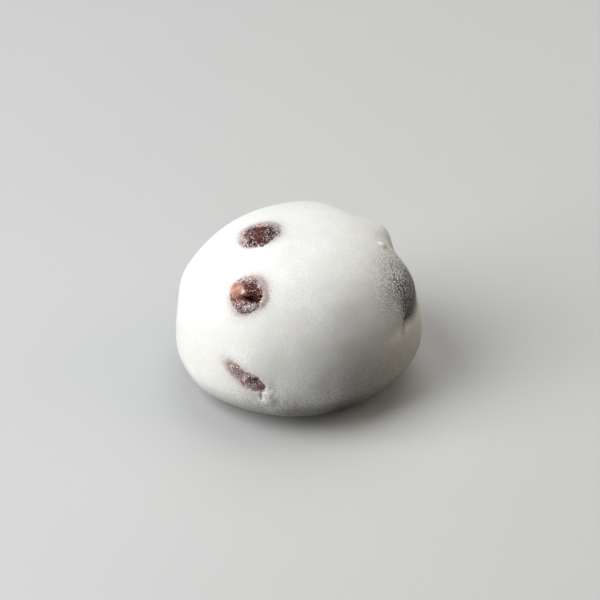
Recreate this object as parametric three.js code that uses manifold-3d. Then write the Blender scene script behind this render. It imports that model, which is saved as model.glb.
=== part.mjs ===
// A bean mochi: a soft rice cake, dusted with starch, with whole cooked peas held in its skin.
//
// Millimetres and degrees, +Z up. The origin is the centre of the flat foot that the cake rests on.
// A place on the cake is an azimuth (0 is +X, 90 is +Y) and an elevation, both seen from the core,
// a point inside the body that every radius of the skin is measured from.

import * as THREE from "three";
import { mergeVertices } from "three/addons/utils/BufferGeometryUtils.js";
import Module from "manifold-3d";

// ---- Driving dimensions ------------------------------------------------------------------------

/** The cake without its lobes: two half superellipsoids that share the widest ring. */
const BODY = {
  coreHeight: 10.5, // of the widest ring above the foot
  halfWidth: 28.5, // along X
  halfDepth: 27.6, // along Y
  crownHeight: 29.7, // from the widest ring to the top
  crownPower: 2.45, // 2 is an ellipse, more is squarer
  bellyDepth: 13.4, // below the widest ring, where the belly would close without a foot
  bellyPower: 2,
};

/** Soft hills (+) and hollows (-) of the skin: height in mm, reach east and north in degrees. */
const LOBES = [
  { name: "crown hump", azimuth: 26, elevation: 43.5, height: 1.7, east: 5.5, north: 6.5 },
  { name: "hollow under the hump", azimuth: 18, elevation: 33.5, height: -2.4, east: 5, north: 9 },
  { name: "shoulder over the side bean", azimuth: -10, elevation: 33, height: 0.4, east: 11, north: 9 },
  { name: "fold under the side bean", azimuth: -17, elevation: 22, height: -0.8, east: 11, north: 2.6 },
  { name: "bulge below the fold", azimuth: -5, elevation: 4, height: 0.6, east: 9, north: 8 },
  { name: "left corner", azimuth: 164, elevation: 21, height: 0.9, east: 5.5, north: 10.5 },
  { name: "flattened back shoulder", azimuth: 148, elevation: 44, height: -0.75, east: 27, north: 27 },
  { name: "left front belly", azimuth: -147, elevation: -22, height: 1, east: 11, north: 13 },
  { name: "flattened right belly", azimuth: -33, elevation: -22, height: -0.8, east: 18, north: 18 },
  { name: "hollow beside the low bean", azimuth: -99, elevation: 12, height: -0.5, east: 6, north: 17 },
  { name: "back belly", azimuth: 62, elevation: -12, height: 0.8, east: 20, north: 13 },
  { name: "flattened back", azimuth: 108, elevation: 12, height: -0.7, east: 16, north: 22 },
];

/**
 * The peas. Each lies with its long axis turned from east towards north by roll, and stands proud
 * of the body's plain form. The skin swells round it by mound. Power is that of its superellipsoid.
 */
const BEANS = [
  {
    name: "bean_top", azimuth: -169, elevation: 73, roll: 86, proud: 1.1, mound: 0.6,
    half: { length: 5.5, width: 4.8, depth: 3.8 }, power: 2.3,
    dents: [{ along: 0.15, across: -0.95, depth: 0.5, reach: 26 }],
  },
  {
    name: "bean_middle", azimuth: -123, elevation: 47.5, roll: 38, proud: 1.3, mound: 0.6,
    half: { length: 5.2, width: 4.7, depth: 4.1 }, power: 2.2,
    dents: [
      { along: 0.36, across: -0.3, depth: 1, reach: 13 },
      { along: -0.04, across: -0.2, depth: 0.8, reach: 10 },
    ],
  },
  {
    name: "bean_low", azimuth: -116, elevation: 11, roll: -29, proud: 1, mound: 0.7,
    half: { length: 6.2, width: 2.4, depth: 4.2 }, power: 2.5,
    dents: [
      { along: -0.05, across: 0.75, depth: 0.5, reach: 17 },
      { along: -0.05, across: -0.75, depth: 0.5, reach: 17 },
    ],
  },
  {
    name: "bean_side", azimuth: -14, elevation: 32, roll: 84, proud: 1, mound: 0.4,
    half: { length: 5.8, width: 4.9, depth: 3.9 }, power: 2.3,
    dents: [{ along: 0.9, across: 0.2, depth: 0.5, reach: 24 }],
  },
  {
    name: "bean_back", azimuth: 84, elevation: 41, roll: 24, proud: 1.1, mound: 0.6,
    half: { length: 5.4, width: 4.6, depth: 3.9 }, power: 2.3,
    dents: [{ along: -0.3, across: 0.9, depth: 0.5, reach: 24 }],
  },
  {
    name: "bean_far", azimuth: 141, elevation: 14, roll: -52, proud: 1, mound: 0.6,
    half: { length: 5.7, width: 3.9, depth: 4 }, power: 2.4,
    dents: [{ along: 0.1, across: -0.9, depth: 0.5, reach: 22 }],
  },
];

const MOUND_REACH = 11; // degrees
const POCKET_GAP = 0.3; // between a pea and the cake round it
const BODY_DETAIL = 15; // subdivisions of an icosahedron's edge
const BEAN_DETAIL = 4;
const NORMAL_STEP = 0.5; // degrees, for the slope of the skin
const CUT_MARGIN = 5; // by which the block that trims the foot is larger than the cake

const RICE_CAKE = { color: 0xf1eee9, roughness: 0.85, metalness: 0 };
const COOKED_PEA = { color: 0x5a3230, roughness: 0.6, metalness: 0 };

// ---- Directions --------------------------------------------------------------------------------

/** The unit vector from the core towards a place on the skin. */
function direction(azimuth, elevation) {
  const a = THREE.MathUtils.degToRad(azimuth);
  const e = THREE.MathUtils.degToRad(elevation);
  return new THREE.Vector3(Math.cos(a) * Math.cos(e), Math.sin(a) * Math.cos(e), Math.sin(e));
}

/** East and north, at right angles to a direction and to each other. */
function compass(azimuth, elevation) {
  const east = direction(azimuth + 90, 0);
  const north = new THREE.Vector3().crossVectors(direction(azimuth, elevation), east);
  return { east, north };
}

/** How high a lobe stands where a direction meets the skin. */
function lobeHeight(toward, lobe) {
  const centre = direction(lobe.azimuth, lobe.elevation);
  const { east, north } = compass(lobe.azimuth, lobe.elevation);
  const away = THREE.MathUtils.radToDeg(toward.angleTo(centre));
  const alongEast = toward.dot(east);
  const alongNorth = toward.dot(north);
  const spread = Math.hypot(alongEast, alongNorth) || 1;
  const u = (away * alongEast) / spread / lobe.east;
  const v = (away * alongNorth) / spread / lobe.north;
  return lobe.height * Math.exp(-(u * u + v * v) / 2);
}

// ---- The cake's form ---------------------------------------------------------------------------

/** The distance from the centre to a superellipsoid's surface, along a unit vector. */
function superellipsoidRadius(toward, half, power) {
  const sum =
    Math.abs(toward.x / half.x) ** power +
    Math.abs(toward.y / half.y) ** power +
    Math.abs(toward.z / half.z) ** power;
  return sum ** (-1 / power);
}

/** The radius of the cake without lobes: round in plan, with its own powers above and below. */
function plainRadius(toward) {
  const above = toward.z >= 0;
  const power = above ? BODY.crownPower : BODY.bellyPower;
  const height = above ? BODY.crownHeight : BODY.bellyDepth;
  const level = Math.hypot(toward.x / BODY.halfWidth, toward.y / BODY.halfDepth);
  const sum = level ** power + Math.abs(toward.z / height) ** power;
  return sum ** (-1 / power);
}

/** The swelling of the skin round a pea, as a lobe. */
function moundOf(bean) {
  const { azimuth, elevation, mound } = bean;
  return { azimuth, elevation, height: mound, east: MOUND_REACH, north: MOUND_REACH };
}

const SWELLINGS = [...LOBES, ...BEANS.map(moundOf)];

/** The radius of the finished skin. */
function skinRadius(toward) {
  return SWELLINGS.reduce((radius, lobe) => radius + lobeHeight(toward, lobe), plainRadius(toward));
}

/** A point of the cake's plain form, from the origin. */
function plainPoint(azimuth, elevation) {
  const toward = direction(azimuth, elevation);
  const point = toward.multiplyScalar(plainRadius(toward));
  return point.setZ(point.z + BODY.coreHeight);
}

/** A matrix that stands on the plain form: X is turned from east to north by roll, Z is outward. */
function standOnSkin({ azimuth, elevation, roll }, height) {
  const origin = plainPoint(azimuth, elevation);
  const east = plainPoint(azimuth + NORMAL_STEP, elevation).sub(origin).normalize();
  const north = plainPoint(azimuth, elevation + NORMAL_STEP).sub(origin).normalize();
  const outward = new THREE.Vector3().crossVectors(east, north).normalize();
  const turn = THREE.MathUtils.degToRad(roll);
  const long = east.clone().multiplyScalar(Math.cos(turn));
  long.addScaledVector(north, Math.sin(turn)).projectOnPlane(outward).normalize();
  const across = new THREE.Vector3().crossVectors(outward, long);
  const matrix = new THREE.Matrix4().makeBasis(long, across, outward);
  return matrix.setPosition(origin.addScaledVector(outward, height));
}

// ---- Solids ------------------------------------------------------------------------------------

/** A closed icosphere whose vertices are moved out to the radius of their direction. */
function radialGeometry(detail, radiusOf) {
  const geometry = new THREE.IcosahedronGeometry(1, detail);
  geometry.deleteAttribute("normal");
  geometry.deleteAttribute("uv");
  const merged = mergeVertices(geometry);
  const position = merged.getAttribute("position");
  const vertex = new THREE.Vector3();
  for (let i = 0; i < position.count; i += 1) {
    vertex.fromBufferAttribute(position, i).normalize();
    vertex.multiplyScalar(radiusOf(vertex));
    position.setXYZ(i, vertex.x, vertex.y, vertex.z);
  }
  return merged;
}

/** A pea about its own centre, grown all round by extra: X is its length and Z points out. */
function beanGeometry({ half, power, dents }, extra) {
  const grown = new THREE.Vector3(half.length, half.width, half.depth).addScalar(extra);
  return radialGeometry(BEAN_DETAIL, (toward) => {
    const radius = superellipsoidRadius(toward, grown, power);
    return dents.reduce((left, dent) => left - dentDepth(toward, dent), radius);
  });
}

/** How deep a dent of a pea is; its centre is given by two shares of the pea's unit sphere. */
function dentDepth(toward, { along, across, depth, reach }) {
  const outward = Math.sqrt(Math.max(0, 1 - along * along - across * across));
  const centre = new THREE.Vector3(along, across, outward).normalize();
  const away = THREE.MathUtils.radToDeg(toward.angleTo(centre)) / reach;
  return depth * Math.exp(-(away * away) / 2);
}

const wasm = await Module();
wasm.setup();

/** A closed geometry as a manifold solid. */
function toSolid(geometry) {
  const merged = mergeVertices(geometry);
  return new wasm.Manifold(
    new wasm.Mesh({
      numProp: 3,
      vertProperties: merged.getAttribute("position").array,
      triVerts: new Uint32Array(merged.index.array),
    }),
  );
}

/** A manifold solid as a geometry with normals. */
function toGeometry(solid) {
  const mesh = solid.getMesh();
  const geometry = new THREE.BufferGeometry();
  geometry.setAttribute("position", new THREE.BufferAttribute(mesh.vertProperties, 3));
  geometry.setIndex(new THREE.BufferAttribute(mesh.triVerts, 1));
  geometry.computeVertexNormals();
  return geometry;
}

/** A block from the foot's plane up, wide enough to hold the whole cake. */
function blockAboveFoot() {
  const side = 2 * (BODY.halfWidth + CUT_MARGIN);
  const height = BODY.coreHeight + BODY.crownHeight + CUT_MARGIN;
  const block = new THREE.BoxGeometry(side, side, height).translate(0, 0, height / 2);
  block.deleteAttribute("normal");
  block.deleteAttribute("uv");
  return block;
}

/** The place of a pea: sunk until only its proud height stands over the plain form. */
function beanPlace(bean) {
  return standOnSkin(bean, bean.proud - bean.half.depth);
}

/** The cake: trimmed flat at the foot, with an open pocket for each pea. */
function makeMochi() {
  const skin = radialGeometry(BODY_DETAIL, skinRadius).translate(0, 0, BODY.coreHeight);
  const trimmed = toSolid(skin).intersect(toSolid(blockAboveFoot()));
  const cut = BEANS.reduce((solid, bean) => {
    const pocket = beanGeometry(bean, POCKET_GAP).applyMatrix4(beanPlace(bean));
    return solid.subtract(toSolid(pocket));
  }, trimmed);
  const mesh = new THREE.Mesh(toGeometry(cut), new THREE.MeshStandardMaterial(RICE_CAKE));
  mesh.name = "mochi";
  return mesh;
}

/** One pea, modelled about its own centre and placed in its pocket. */
function makeBean(bean) {
  const geometry = beanGeometry(bean, 0);
  geometry.computeVertexNormals();
  const mesh = new THREE.Mesh(geometry, new THREE.MeshStandardMaterial(COOKED_PEA));
  mesh.name = bean.name;
  mesh.applyMatrix4(beanPlace(bean));
  return mesh;
}

// ---- The part ----------------------------------------------------------------------------------

const part = new THREE.Group();
part.name = "bean_mochi";
part.add(makeMochi());
for (const bean of BEANS) {
  part.add(makeBean(bean));
}

export default part;
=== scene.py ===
"""The looks of a bean mochi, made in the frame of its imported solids.

A soft white skin is drawn over whole cooked peas. It is torn open over some of them, and covers
the others with a film thin enough to show them. Starch lies on all of it but the foot.

Sizes are in millimetres, and become metres only in a mesh, a material or a node tree. Angles are in
degrees. A place on the cake is an azimuth (0 is +X, 90 is +Y) and an elevation, both seen from the
cake's core. A place on a pea is how far along its long axis and how far across it, from its middle.
"""

from __future__ import annotations

import logging
import math
from dataclasses import dataclass
from enum import Enum

import bmesh
import bpy
import numpy as np
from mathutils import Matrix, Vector, noise

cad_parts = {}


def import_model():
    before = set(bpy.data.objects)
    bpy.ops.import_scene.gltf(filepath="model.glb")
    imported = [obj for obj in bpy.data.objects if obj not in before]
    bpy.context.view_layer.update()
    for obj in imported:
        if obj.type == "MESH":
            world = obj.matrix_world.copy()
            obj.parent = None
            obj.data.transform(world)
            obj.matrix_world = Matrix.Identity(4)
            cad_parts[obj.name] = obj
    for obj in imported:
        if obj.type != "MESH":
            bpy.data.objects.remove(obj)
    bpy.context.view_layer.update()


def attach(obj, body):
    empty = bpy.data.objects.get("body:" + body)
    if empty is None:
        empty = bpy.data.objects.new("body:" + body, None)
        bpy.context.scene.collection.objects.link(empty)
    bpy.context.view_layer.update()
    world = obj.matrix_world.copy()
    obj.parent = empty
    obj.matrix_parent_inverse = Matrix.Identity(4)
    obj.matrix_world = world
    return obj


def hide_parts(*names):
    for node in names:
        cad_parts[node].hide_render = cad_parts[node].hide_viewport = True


LOG = logging.getLogger("bean_mochi")
MM = 0.001  # in metres
TINY = 1e-9  # keeps a division from being by nothing
BODY = "root"
Colour = tuple[float, float, float]
Faces = list[tuple[int, ...]]
Socket = bpy.types.NodeSocket


class Cover(Enum):
    """How the skin lies over a pea."""

    TORN = "torn"
    FILM = "film"


class Slot(Enum):
    """The record's material slots."""

    RICE_CAKE = "rice_cake"
    COOKED_PEA = "cooked_pea"


# ---- Directions, distances and soft steps ------------------------------------------------------


def direction(azimuth: float, elevation: float) -> np.ndarray:
    """The unit vector from the core towards a place on the cake.

    Args:
        azimuth: Degrees from +X towards +Y.
        elevation: Degrees above the widest ring.

    Returns:
        Three numbers.
    """
    a, e = math.radians(azimuth), math.radians(elevation)
    return np.array([math.cos(a) * math.cos(e), math.sin(a) * math.cos(e), math.sin(e)])


def smooth_step(value: np.ndarray, low: float, high: float) -> np.ndarray:
    """Rises smoothly from 0 at low to 1 at high.

    Args:
        value: The values to step.
        low: Where the step starts.
        high: Where it ends.

    Returns:
        Values from 0 to 1.
    """
    t = np.clip((value - low) / (high - low), 0.0, 1.0)
    return t * t * (3.0 - 2.0 * t)


def soft_maximum(a: np.ndarray, b: np.ndarray, blend: float) -> np.ndarray:
    """The larger of two heights, with the corner between them rounded as wide as blend."""
    return 0.5 * (a + b + np.sqrt((a - b) ** 2 + blend**2))


def bell(distance: np.ndarray, reach: float) -> np.ndarray:
    """1 at no distance, sinking softly to about a third at its reach."""
    return np.exp(-((distance / reach) ** 2))


def fullness(points: np.ndarray, halves: tuple[float | np.ndarray, ...], power: float) -> np.ndarray:
    """How far out points are in a superellipsoid: under 1 inside it and over 1 outside.

    Args:
        points: One a row.
        halves: Half its size along each axis that counts.
        power: Of the superellipsoid.

    Returns:
        One value for each point, which grows with the power of its distance.
    """
    return sum(np.abs(points[:, axis] / half) ** power for axis, half in enumerate(halves))


def beside_run(points: np.ndarray, start: np.ndarray, end: np.ndarray) -> tuple[np.ndarray, np.ndarray]:
    """Where points lie beside a straight run.

    Args:
        points: One a row.
        start: Where the run starts.
        end: Where it ends.

    Returns:
        How far along the run each point is, from 0 to 1, and how far away from it.
    """
    run = end - start
    share = np.clip((points - start) @ run / (run @ run), 0.0, 1.0)
    return share, np.linalg.norm(points - start - share[:, None] * run, axis=1)


def lumps(points: np.ndarray, size: float, seed: float) -> np.ndarray:
    """Smooth noise at each point, from about -1 to 1.

    Args:
        points: One row of three numbers for each point.
        size: Of a lump, in the points' unit.
        seed: Shifts the pattern, so that no two are alike.

    Returns:
        One value for each point.
    """
    shifted = points / size + seed
    return np.fromiter((noise.noise(Vector(p)) for p in shifted), float, len(points))


@dataclass(frozen=True)
class Grade:
    """One size of lumps in something uneven.

    Attributes:
        size: Of a lump.
        share: How much it counts.
        seed: Added to the seed of the whole.
    """

    size: float
    share: float
    seed: float


def unevenness(points: np.ndarray, grades: tuple[Grade, ...], seed: float = 0.0) -> np.ndarray:
    """Lumps of several sizes together.

    Args:
        points: One row of three numbers for each point.
        grades: The sizes.
        seed: Of the whole.

    Returns:
        One value for each point.
    """
    return sum(grade.share * lumps(points, grade.size, seed + grade.seed) for grade in grades)


# ---- The cake's form ---------------------------------------------------------------------------


@dataclass(frozen=True)
class Lobe:
    """A soft hill or hollow over the skin, of its height or of how much of something lies there.

    Attributes:
        name: What it is.
        azimuth: Of its middle.
        elevation: Of its middle.
        height: Of its middle; a hollow's is negative.
        east: How far it reaches sideways, in degrees.
        north: How far it reaches up and down, in degrees.
    """

    name: str
    azimuth: float
    elevation: float
    height: float
    east: float
    north: float

    def lift(self, toward: np.ndarray) -> np.ndarray:
        """The lobe's height over the skin.

        Args:
            toward: Unit vectors from the core, one a row.

        Returns:
            The height along each.
        """
        centre = direction(self.azimuth, self.elevation)
        east = direction(self.azimuth + 90.0, 0.0)
        north = np.cross(centre, east)
        away = np.degrees(np.arccos(np.clip(toward @ centre, -1.0, 1.0)))
        along_east, along_north = toward @ east, toward @ north
        spread = np.maximum(np.hypot(along_east, along_north), TINY)
        u = away * along_east / spread / self.east
        v = away * along_north / spread / self.north
        return self.height * np.exp(-(u**2 + v**2) / 2.0)


@dataclass(frozen=True)
class Placement:
    """Where a pea lies.

    Attributes:
        middle: Its middle.
        axes: Its long, cross and outward axes, one a row.
    """

    middle: np.ndarray
    axes: np.ndarray

    def to_local(self, points: np.ndarray) -> np.ndarray:
        """Points of the cake in the pea's own axes."""
        return (points - self.middle) @ self.axes.T

    def to_cake(self, local: np.ndarray) -> np.ndarray:
        """Points of the pea in the cake's axes."""
        return local @ self.axes + self.middle


@dataclass(frozen=True)
class CakeForm:
    """The cake's outer form: two half superellipsoids that share the widest ring, and lobes.

    Attributes:
        core_height: How far the core is above the foot; the widest ring is level with it.
        half_width: Half the width from left to right.
        half_depth: Half the depth from front to back.
        crown_height: Of the upper half.
        crown_power: Of the upper half's superellipsoid.
        belly_depth: Of the lower half, which the foot cuts off.
        belly_power: Of the lower half's superellipsoid.
        foot_round: How softly the foot's edge is rounded.
        lobes: Its hills and hollows.
    """

    core_height: float = 10.5
    half_width: float = 28.5
    half_depth: float = 27.6
    crown_height: float = 29.7
    crown_power: float = 2.45
    belly_depth: float = 13.4
    belly_power: float = 2.0
    foot_round: float = 0.25
    lobes: tuple[Lobe, ...] = (
        Lobe("crown hump", 26, 43.5, 1.7, 5.5, 6.5),
        Lobe("hollow under the hump", 18, 33.5, -2.4, 5, 9),
        Lobe("shoulder over the side pea", -10, 33, 0.4, 11, 9),
        Lobe("fold under the side pea", -17, 22, -0.8, 11, 2.6),
        Lobe("bulge below the fold", -5, 4, 0.6, 9, 8),
        Lobe("left corner", 164, 21, 0.9, 5.5, 10.5),
        Lobe("flattened back shoulder", 148, 44, -0.75, 27, 27),
        Lobe("left front belly", -147, -22, 1, 11, 13),
        Lobe("flattened right belly", -33, -22, -0.8, 18, 18),
        Lobe("hollow beside the low pea", -99, 12, -0.18, 6, 17),
        Lobe("back belly", 62, -12, 0.8, 20, 13),
        Lobe("flattened back", 108, 12, -0.7, 16, 22),
    )

    def core(self) -> np.ndarray:
        """The point that places on the cake are seen from."""
        return np.array([0.0, 0.0, self.core_height])

    def plain_radius(self, toward: np.ndarray) -> np.ndarray:
        """The radius of the cake without its lobes.

        Args:
            toward: Unit vectors from the core, one a row.

        Returns:
            One radius for each.
        """
        above = toward[:, 2] >= 0.0
        power = np.where(above, self.crown_power, self.belly_power)
        height = np.where(above, self.crown_height, self.belly_depth)
        level = np.hypot(toward[:, 0] / self.half_width, toward[:, 1] / self.half_depth)
        total = level**power + np.abs(toward[:, 2] / height) ** power
        return total ** (-1.0 / power)

    def skin_points(self, toward: np.ndarray, more: tuple[Lobe, ...]) -> np.ndarray:
        """The points of the cake's form with its lobes.

        Args:
            toward: Unit vectors from the core, one a row.
            more: Lobes of the skin alone, besides the form's own.

        Returns:
            One point for each.
        """
        radius = self.plain_radius(toward)
        for lobe in (*self.lobes, *more):
            radius = radius + lobe.lift(toward)
        return toward * radius[:, None] + self.core()

    def plain_point(self, azimuth: float, elevation: float) -> np.ndarray:
        """A point of the form without its lobes."""
        toward = direction(azimuth, elevation)[None, :]
        return toward[0] * self.plain_radius(toward)[0] + self.core()

    def stand(self, azimuth: float, elevation: float, roll: float, height: float) -> Placement:
        """Stands a set of axes on the plain form.

        Args:
            azimuth: Where on the form.
            elevation: Where on the form.
            roll: How far the long axis is turned from east towards north.
            height: How far the middle is outside the form; inside is negative.

        Returns:
            The placement.
        """
        step = 0.5
        origin = self.plain_point(azimuth, elevation)
        east = self.plain_point(azimuth + step, elevation) - origin
        north = self.plain_point(azimuth, elevation + step) - origin
        east, north = east / np.linalg.norm(east), north / np.linalg.norm(north)
        outward = np.cross(east, north)
        outward /= np.linalg.norm(outward)
        turn = math.radians(roll)
        long = east * math.cos(turn) + north * math.sin(turn)
        long -= outward * (long @ outward)
        long /= np.linalg.norm(long)
        axes = np.stack([long, np.cross(outward, long), outward])
        return Placement(origin + outward * height, axes)

    def flatten_foot(self, points: np.ndarray) -> np.ndarray:
        """Lifts what hangs under the foot's plane into it, with a soft edge.

        Args:
            points: The skin's points.

        Returns:
            The points, with none below the foot.
        """
        resting = points.copy()
        resting[:, 2] = soft_maximum(points[:, 2], np.zeros(len(points)), self.foot_round)
        resting[:, 2] -= 0.5 * self.foot_round * np.exp(-np.abs(points[:, 2]) / self.foot_round)
        return resting


# ---- What lies on a pea ------------------------------------------------------------------------


def outer_face(local: np.ndarray) -> np.ndarray:
    """1 on a pea's outer half and 0 on its inner, with a soft step 1 mm high between them."""
    return smooth_step(local[:, 2], 0.0, 1.0)


@dataclass(frozen=True)
class Window:
    """Where the skin is torn open over a pea.

    Attributes:
        along: Half its length.
        across: Half its width.
        power: Of its superellipse; under 2 the ends are pointed.
        shift_along: Of its middle.
        shift_across: Of its middle.
        turn: Of its own axes from the pea's, in degrees.
        taper: The share by which its near end is narrower than its middle.
        waist: The share by which it is narrower at its waist.
        waist_at: Where along the pea the waist is.
        waist_reach: How far to either side the waist reaches.
        ragged: How far its edge wanders.
        tears: The sizes of that wandering.
        lip: How thick the skin's edge is.
        cling: How far from the edge the skin still hugs the pea.
        thicken: How fast the skin thickens away from its edge.
    """

    along: float
    across: float
    power: float = 2.0
    shift_along: float = 0.0
    shift_across: float = 0.0
    turn: float = 0.0
    taper: float = 0.0
    waist: float = 0.0
    waist_at: float = 0.0
    waist_reach: float = 1.3
    ragged: float = 0.3
    tears: tuple[Grade, ...] = (Grade(0.9, 1.0, 0.0), Grade(0.35, 0.5, 7.0))
    lip: float = 0.05
    cling: float = 1.1
    thicken: float = 0.12

    def distance(self, local: np.ndarray, seed: float) -> np.ndarray:
        """How far outside the window's edge each point is; inside is negative.

        Args:
            local: Points in the pea's own axes.
            seed: Of the edge's wandering.

        Returns:
            Millimetres.
        """
        cos, sin = math.cos(math.radians(self.turn)), math.sin(math.radians(self.turn))
        right, up = local[:, 0] - self.shift_along, local[:, 1] - self.shift_across
        u, v = right * cos + up * sin, up * cos - right * sin
        flat = np.column_stack([u, v, np.zeros(len(u))])
        narrow = self.waist * bell(local[:, 0] - self.waist_at, self.waist_reach)
        half_across = self.across * (1.0 - narrow) * (1.0 + self.taper * np.minimum(u / self.along, 0.0))
        total = fullness(flat, (self.along, half_across), self.power)
        share = np.maximum(total, TINY) ** (1.0 / self.power)
        return np.hypot(u, v) * (1.0 - 1.0 / share) + self.ragged * unevenness(flat, self.tears, seed)


@dataclass(frozen=True)
class Spot:
    """A soft-edged place on a pea.

    Attributes:
        along: Where its middle is.
        across: Where its middle is.
        reach_along: How far it reaches along the pea.
        reach_across: How far it reaches across the pea.
    """

    along: float
    across: float
    reach_along: float
    reach_across: float

    def spread(self, local: np.ndarray) -> np.ndarray:
        """The square of how far each point is from the spot's middle.

        Args:
            local: Points in the pea's own axes.

        Returns:
            1 at the spot's reach.
        """
        u = (local[:, 0] - self.along) / self.reach_along
        v = (local[:, 1] - self.across) / self.reach_across
        return u**2 + v**2


@dataclass(frozen=True)
class Patch(Spot):
    """A patch of another colour on a pea, with its own share of starch.

    Attributes:
        colour: Of the patch.
        strength: How fully it covers the coat in its middle.
        starch: How much of it the starch covers, from 0 to 1.
        crisp: How sharply it ends; 1 is the softest.
    """

    colour: Colour
    strength: float = 0.9
    starch: float = 0.25
    crisp: float = 1.5

    def cover(self, local: np.ndarray) -> np.ndarray:
        """How much of the patch each point has, from 0 to its strength."""
        return self.strength * outer_face(local) * np.exp(-(self.spread(local) ** self.crisp))


@dataclass(frozen=True)
class Swell(Spot):
    """A soft hill or hollow of a pea.

    Attributes:
        height: Of its middle; a hollow's is negative.
    """

    height: float

    def lift(self, local: np.ndarray) -> np.ndarray:
        """How far it lifts each point."""
        return self.height * outer_face(local) * np.exp(-self.spread(local))


@dataclass(frozen=True)
class Crease:
    """A groove between two places on a pea.

    Attributes:
        start: Where it starts, along and across the pea.
        end: Where it ends.
        width: Half its width.
        depth: How deep it is in its middle.
    """

    start: tuple[float, float]
    end: tuple[float, float]
    width: float
    depth: float

    def sink(self, local: np.ndarray) -> np.ndarray:
        """How deep the crease is at each point."""
        away = beside_run(local[:, :2], np.array(self.start), np.array(self.end))[1]
        return self.depth * outer_face(local) * bell(away, self.width)


@dataclass(frozen=True)
class CoatPattern:
    """How a cooked pea's coat is wrinkled, mottled and dusted.

    Each of its patterns adds a number of its own to the pea's seed, so that no two are alike.

    Attributes:
        wrinkle: How deep its wrinkles are.
        wrinkle_size: How far apart they are.
        wrinkle_run: How much they change along the pea, as a share of how much across it.
        wrinkle_narrow: How narrow they are.
        pimple_size: Of the fine unevenness.
        pimple_share: How deep that is, as a share of the wrinkles' depth.
        dent: How deep the broad unevenness is.
        dent_size: Of the broad unevenness.
        mottles: The sizes of its lighter and darker spots.
        mottling: How strong they are.
        dust_size: Of the clouds in its starch.
        dust_clouds: How strong they are.
        rim_dust: How much more starch lies at a torn edge.
        rim_reach: How far from the edge it lies.
        stray: How far the outlines on it wander.
        stray_size: Of that wandering.
    """

    wrinkle: float = 0.09
    wrinkle_size: float = 1.5
    wrinkle_run: float = 0.55
    wrinkle_narrow: float = 2.2
    pimple_size: float = 0.45
    pimple_share: float = 0.3
    dent: float = 0.12
    dent_size: float = 3.0
    mottles: tuple[Grade, ...] = (Grade(1.6, 1.0, 5.0), Grade(0.6, 0.5, 9.0))
    mottling: float = 0.35
    dust_size: float = 1.3
    dust_clouds: float = 0.5
    rim_dust: float = 0.22
    rim_reach: float = 0.7
    stray: float = 0.45
    stray_size: float = 0.8

    def wrinkles(self, local: np.ndarray, seed: float) -> np.ndarray:
        """How deep the unevenness of the coat is.

        Args:
            local: Points in the pea's own axes.
            seed: Of the pea.

        Returns:
            Millimetres for each point.
        """
        drawn_out = local * np.array([self.wrinkle_run, 1.0, 1.0])
        folds = 1.0 - np.abs(lumps(drawn_out, self.wrinkle_size, seed)) * self.wrinkle_narrow
        pimples = self.pimple_share * lumps(local, self.pimple_size, seed + 3.0)
        dents = self.dent * lumps(local, self.dent_size, seed + 11.0)
        return self.wrinkle * (np.maximum(folds, 0.0) ** 2 + pimples) + dents

    def strayed(self, local: np.ndarray, seed: float) -> np.ndarray:
        """Shifts points a little along and across a pea, so that what lies on it is uneven.

        Args:
            local: Points in the pea's own axes.
            seed: Of the pea.

        Returns:
            The shifted points.
        """
        along, across = (lumps(local, self.stray_size, seed + more) for more in (15.0, 17.0))
        return local + self.stray * np.column_stack([along, across, np.zeros(len(local))])


# ---- The peas ----------------------------------------------------------------------------------


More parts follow.
